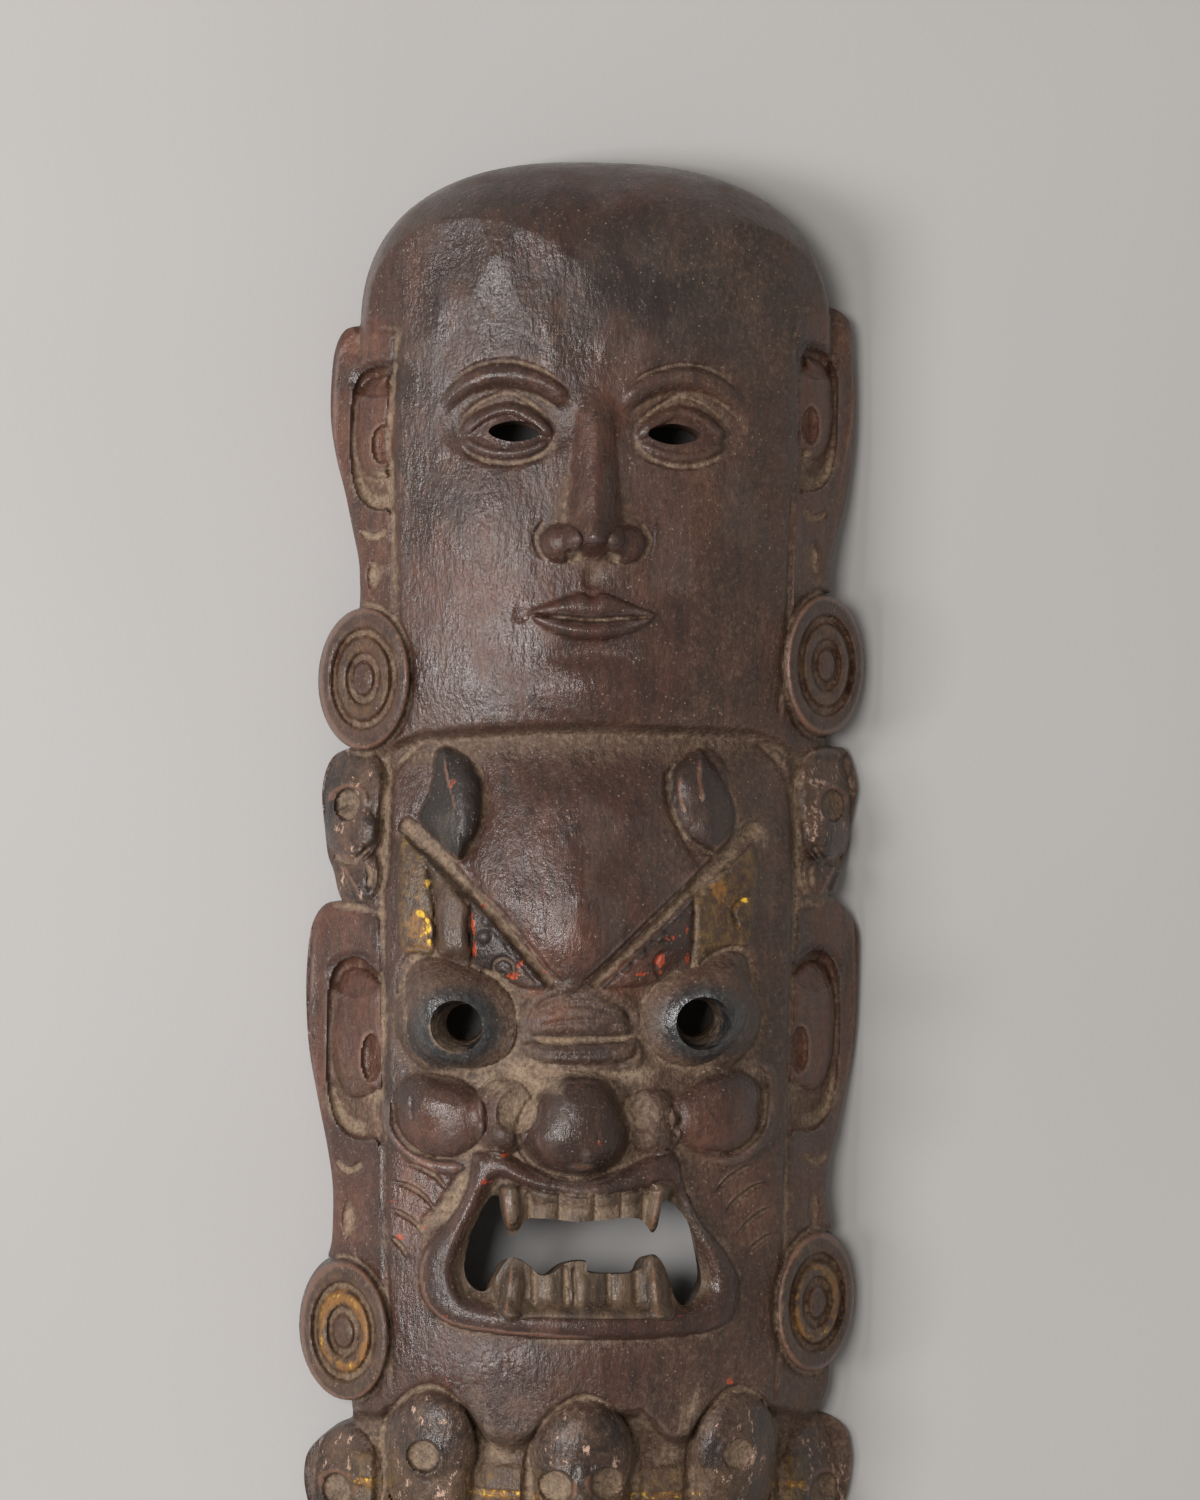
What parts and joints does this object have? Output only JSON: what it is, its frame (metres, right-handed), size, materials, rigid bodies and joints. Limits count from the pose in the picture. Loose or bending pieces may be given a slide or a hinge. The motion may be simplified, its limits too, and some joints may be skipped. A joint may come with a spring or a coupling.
{
  "type": "carved wooden mask",
  "caption": "Tall mask carved from one plank, with a calm face over a wrathful face, a crown of small skulls and a lower face, hollowed at the back.",
  "frame": {"origin": "middle of the mask's footprint, on the plane that its back rim lies on", "axes": "+X across the mask, +Y towards the top of the upper head, +Z out of the faces"},
  "size_m": [0.246, 0.845, 0.1075],
  "materials": {
    "lacquered_wood": "worn dark lacquer over carved wood, dusty in the hollows"
  },
  "bodies": {
    "root": {"mask": "lacquered_wood"}
  },
  "joints": []
}
